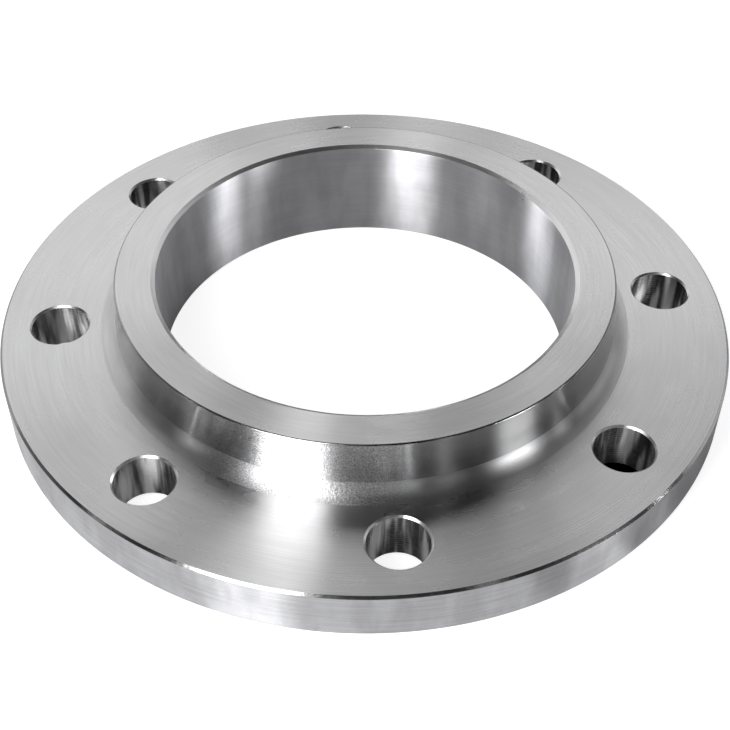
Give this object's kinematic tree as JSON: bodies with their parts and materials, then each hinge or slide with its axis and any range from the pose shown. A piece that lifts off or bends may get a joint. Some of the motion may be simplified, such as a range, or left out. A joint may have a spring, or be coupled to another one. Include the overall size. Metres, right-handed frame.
{
  "type": "hubbed flat flange",
  "caption": "Round flat flange with a low hub, a plain bore that a pipe slides into, a raised sealing face underneath and a ring of bolt holes.",
  "frame": {"origin": "on the flange's axis, at the raised sealing face that it rests on", "axes": "+Z along the bore, from the sealing face up through the hub. X lies midway between two bolt holes, so the holes straddle X and Y"},
  "size_m": [0.285, 0.285, 0.044],
  "materials": {
    "turned_steel": "bright lathe-turned steel with fine concentric tool marks"
  },
  "bodies": {
    "root": {"flange_body": "turned_steel"}
  },
  "joints": []
}
